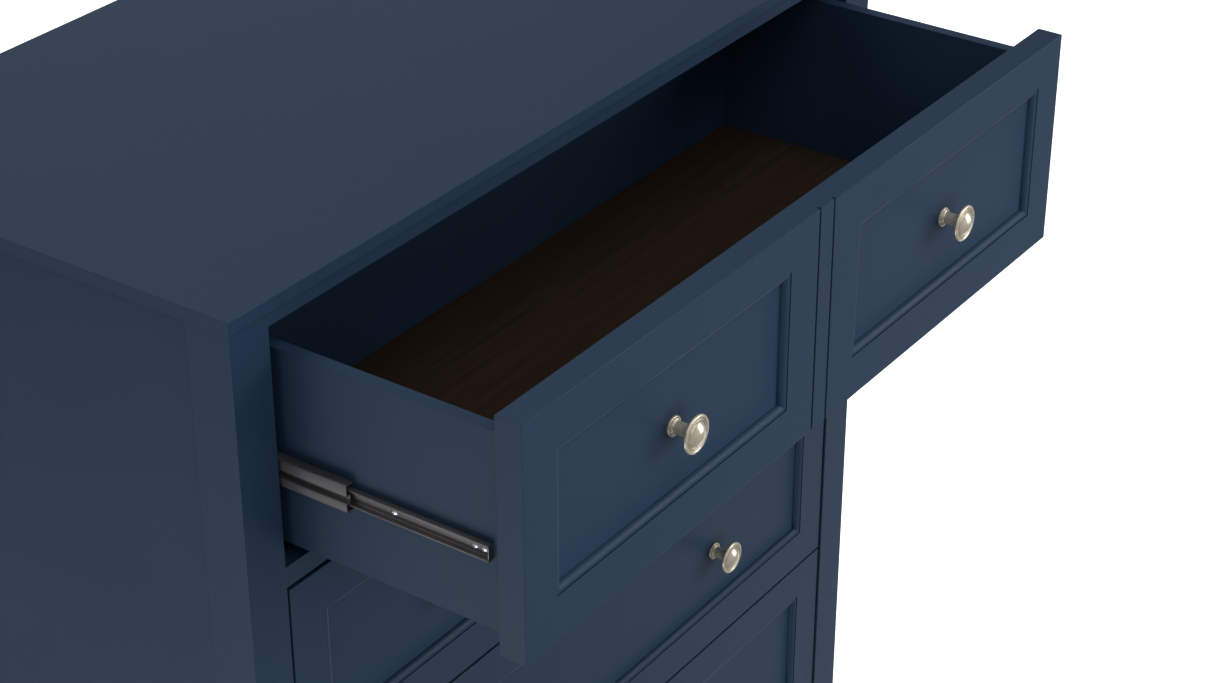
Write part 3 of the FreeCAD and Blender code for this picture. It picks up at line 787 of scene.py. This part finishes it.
def makeCabinetMembers(wall, heights):
    # the plain channels that stay on the cabinet
    low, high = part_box("slide_cabinet_members")
    line = channelLine(0.0, slide["outerDeep"], slide["outerHigh"])
    parts = [sheetStrip(line, sheetSteel["bend"], side * wall, side, height, low.y, high.y)
             for height in heights for side in (-1, 1)]
    points, faces = gathered(parts)
    piece = newPiece("cabinetMembers", points, faces, "slide_steel", "cabinet", 40)
    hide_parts("slide_cabinet_members")


screwShape = {
    "head": 3.3,
    "headHigh": 1.7,
    "rimHigh": 0.55,
    "shank": 1.8,
    "long": 9.0,
    "recessDeep": 1.1,
    "armWide": 0.62,
    "armLong": 1.9,
    "tip": 0.63,
    "behindFront": (7.6, 16.5, 95.7),
}
boltShape = {
    "head": 4.5,
    "headHigh": 2.4,
    "rimHigh": 0.9,
    "shank": 2.0,
    "recessDeep": 1.4,
    "armWide": 0.8,
    "armLong": 2.5,
    "tip": 0.7,
    "board": 12.0,
}
cross = {
    "around": 48,
    "rings": 14,
    "wallSlope": 0.25,
    "endSlope": 0.5,
    "pinhole": 0.001,
    "tipLong": 1.0,
}


def crossHead(shape, long, centre, axis):
    # a round-headed fastener on a grid of rings and directions: the head is a cap whose height falls
    # with the square of the radius, less a cross-shaped recess with sloping walls, then the shank;
    # centre lies under the head and axis points out of it
    around = cross["around"]
    angles = np.linspace(0, 2 * math.pi, around, endpoint=False)
    radii = np.linspace(0, 1, cross["rings"] + 1)[1:] * shape["head"]
    x = radii[:, None] * np.cos(angles)
    y = radii[:, None] * np.sin(angles)
    cap = shape["headHigh"] - (shape["headHigh"] - shape["rimHigh"]) * (radii / shape["head"]) ** 2
    recess = np.zeros_like(x)
    for first, second in ((np.abs(x), np.abs(y)), (np.abs(y), np.abs(x))):
        wide = np.clip((shape["armWide"] - first) / cross["wallSlope"], 0, 1)
        reach = np.clip((shape["armLong"] - second) / cross["endSlope"], 0, 1)
        recess = np.maximum(recess, wide * reach)
    heights = [np.full((1, around), shape["headHigh"] - shape["recessDeep"]),
               cap[:, None] - recess * shape["recessDeep"]]
    rings = [np.full((1, around), cross["pinhole"]), np.repeat(radii[:, None], around, 1)]
    for radius, height in ((shape["head"], 0.0), (shape["shank"], 0.0),
                           (shape["shank"], cross["tipLong"] - long), (shape["tip"], -long)):
        rings.append(np.full((1, around), radius))
        heights.append(np.full((1, around), height))
    rings = np.concatenate(rings)
    heights = np.concatenate(heights)
    axis = np.asarray(axis, float)
    first = np.cross(axis, (0, 0, 1))
    second = np.cross(axis, first)
    points = (rings * np.cos(angles))[..., None] * first + (rings * np.sin(angles))[..., None] * second
    points = (points + heights[..., None] * axis).reshape(-1, 3) * milli + np.asarray(centre)
    faces = gridFaces(len(rings), around, True)[:, ::-1].tolist()
    faces.append(list(range(around)))
    faces.append([(len(rings) - 1) * around + index for index in range(around)][::-1])
    return points, faces


def makeScrews(number, wall, height):
    # three screws through each drawer member, and one through the front into each knob
    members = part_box(f"drawer_{number}_slide_members")
    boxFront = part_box(f"drawer_{number}_box_ends")[0].y
    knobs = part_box(f"drawer_{number}_knobs")
    knobRadius = (knobs[1].z - knobs[0].z) / 2
    depth = (slide["boxFace"] - sheetSteel["thick"]) * milli
    parts = []
    for side in (-1, 1):
        for behind in screwShape["behindFront"]:
            centre = (side * (wall - depth), members[0].y + behind * milli, height)
            reach = screwShape["long"] + sheetSteel["thick"]
            parts.append(crossHead(screwShape, reach, centre, (side, 0, 0)))
        head = (side * (knobs[1].x - knobRadius), boxFront + boltShape["board"] * milli,
                (knobs[0].z + knobs[1].z) / 2)
        reach = (head[1] - knobs[1].y) / milli + knob["boreDeep"] - knob["boreClear"]
        parts.append(crossHead(boltShape, reach, head, (0, 1, 0)))
    points, faces = gathered(parts)
    piece = newPiece(f"screws{number}", points, faces, "zinc_screws", f"drawer_{number}", 35)
    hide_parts(f"drawer_{number}_screws")


glide = {
    "radius": 11.0,
    "edge": 1.2,
    "dish": 0.6,
    "dishRadius": 0.7,
    "dishEdge": 0.8,
    "topEase": (0.96, 0.98),
    "around": 48,
}


def makeGlides():
    # a moulded disc under each post: rounded lower edge and a slightly dished sole
    low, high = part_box("leg_glides")
    radius = glide["radius"] * milli
    tall = high.z
    edge = glide["edge"] * milli
    dish = glide["dish"] * milli
    highEase, wideEase = glide["topEase"]
    profile = np.concatenate([
        [[0, dish], [radius * glide["dishRadius"], dish * glide["dishEdge"]]],
        arc((radius - edge, edge), edge, 270, 360, 6),
        [[radius, tall * highEase], [radius * wideEase, tall], [0, tall]],
    ])
    profile[:, 1] = tall - profile[:, 1]
    parts = [turned(profile, (x, y, tall), (0, 0, -1), glide["around"])
             for x in (low.x + radius, high.x - radius) for y in (low.y + radius, high.y - radius)]
    points, faces = gathered(parts)
    piece = newPiece("glides", points, faces, "glide_plastic", "cabinet", 40)
    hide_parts("leg_glides")


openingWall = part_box("slide_cabinet_members")[1].x
slideHeights = {}
for number in drawerNumbers:
    low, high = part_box(f"drawer_{number}_slide_members")
    slideHeights[number] = (low.z + high.z) / 2
    makeMiddleMembers(number, openingWall, slideHeights[number])
    makeDrawerMembers(number, openingWall, slideHeights[number])
    makeScrews(number, openingWall, slideHeights[number])
makeCabinetMembers(openingWall, slideHeights.values())
makeGlides()
print("slides, screws and glides made")

for number in drawerNumbers:
    makeKnobs(number)
    makeFrontFrame(number)
    makeMouldings(number)
print("fronts made")


camera = {
    "azimuth": -54.996,
    "elevation": 29.963,
    "lens": 80.47,
    "sensor": 36,
    "farthest": 60,
    "corner": (-0.484, -0.254, 1.067),
    "reach": 2.049,
    "offset": (-0.63213, -0.61339, 0.49370),
}


def makeCamera():
    # looks along the given azimuth and elevation past the top panel's near corner
    data = bpy.data.cameras.new("camera")
    data.lens = camera["lens"]
    data.sensor_width = camera["sensor"]
    data.dof.use_dof = False
    data.clip_end = camera["farthest"]
    item = bpy.data.objects.new("camera", data)
    bpy.context.scene.collection.objects.link(item)
    item.location = [corner + camera["reach"] * part
                     for corner, part in zip(camera["corner"], camera["offset"])]
    item.rotation_euler = (math.radians(90 - camera["elevation"]), 0, math.radians(camera["azimuth"]))
    bpy.context.scene.camera = item


studio = {
    "floorSize": 60.0,
    "floorColour": (0.86, 0.86, 0.86),
    "floorShade": (0.8428, 0.8428, 0.8428),
    "floorMottle": 3.0,
    "floorRoughness": (0.85, 0.9),
    "floorGlow": 0.9,
    "skyStrength": 0.2,
    "target": (0, -0.15, 0.7),
    "distance": 4.0,
    "boxSize": 2.4,
}
softBoxes = (
    # name, power in watts, azimuth from +X towards +Y, elevation, whether glossy surfaces show it
    ("aboveFront", 44, 270, 65, True),
    ("aboveBack", 60, 90, 65, True),
    ("leftLow", 90, 178, -40, True),
    ("leftBackLow", 64, 142, -36, False),
    ("front", 70, 265, 0, False),
    ("key", 80, 309, 13, True),
    ("leftBackHigh", 18, 135, 40, True),
    ("leftFrontHigh", 26, 225, 40, True),
    ("rightLow", 22, 0, -40, True),
    ("rightBack", 24, 45, 0, True),
)


def makeFloor():
    # a large pale floor with a faint mottle, which glows like the floor of a lit white cove
    half = studio["floorSize"] / 2
    mesh = bpy.data.meshes.new("floor")
    corners = [(-half, -half, 0), (half, -half, 0), (half, half, 0), (-half, half, 0)]
    mesh.from_pydata(corners, [], [(0, 1, 2, 3)])
    floor = bpy.data.objects.new("floor", mesh)
    bpy.context.scene.collection.objects.link(floor)
    made = Finish("floor")
    mottle = made.noise(made.place(), studio["floorMottle"], 3)
    colour = made.tint(made.between(mottle, 0.3, 0.7), studio["floorColour"], studio["floorShade"])
    rough = made.between(mottle, 0.3, 0.7, *studio["floorRoughness"])
    mesh.materials.append(made.surface({"Base Color": colour, "Roughness": rough,
                                        "Emission Color": (1, 1, 1),
                                        "Emission Strength": studio["floorGlow"]}))
    # the floor is only seen: the low lights shine through it, as light comes back up in a white cove
    floor.visible_diffuse = False
    floor.visible_glossy = False
    floor.visible_shadow = False


def makeSky():
    # an even dim surround that the camera sees as white
    world = bpy.data.worlds.new("studio")
    world.use_nodes = True
    nodes = world.node_tree.nodes
    links = world.node_tree.links
    surround = nodes["Background"]
    surround.inputs["Color"].default_value = (1, 1, 1, 1)
    surround.inputs["Strength"].default_value = studio["skyStrength"]
    backdrop = nodes.new("ShaderNodeBackground")
    backdrop.inputs["Color"].default_value = (1, 1, 1, 1)
    chooser = nodes.new("ShaderNodeMixShader")
    links.new(nodes.new("ShaderNodeLightPath").outputs["Is Camera Ray"], chooser.inputs[0])
    links.new(surround.outputs[0], chooser.inputs[1])
    links.new(backdrop.outputs[0], chooser.inputs[2])
    links.new(chooser.outputs[0], nodes["World Output"].inputs["Surface"])
    bpy.context.scene.world = world


def softBox(name, power, azimuth, elevation, reflected):
    # a square soft light on a sphere about the target, facing it
    data = bpy.data.lights.new(name, "AREA")
    data.energy = power
    data.size = studio["boxSize"]
    item = bpy.data.objects.new(name, data)
    bpy.context.scene.collection.objects.link(item)
    turn, rise = math.radians(azimuth), math.radians(elevation)
    way = np.array([math.cos(rise) * math.cos(turn), math.cos(rise) * math.sin(turn), math.sin(rise)])
    item.location = studio["target"] + way * studio["distance"]
    item.rotation_euler = (math.pi / 2 - rise, 0, turn + math.pi / 2)
    item.visible_camera = False
    item.visible_glossy = reflected


makeCamera()
makeFloor()
makeSky()
for values in softBoxes:
    softBox(*values)
view = bpy.context.scene.view_settings
view.view_transform = "Standard"
view.look = "None"
print("stage, light and camera set")
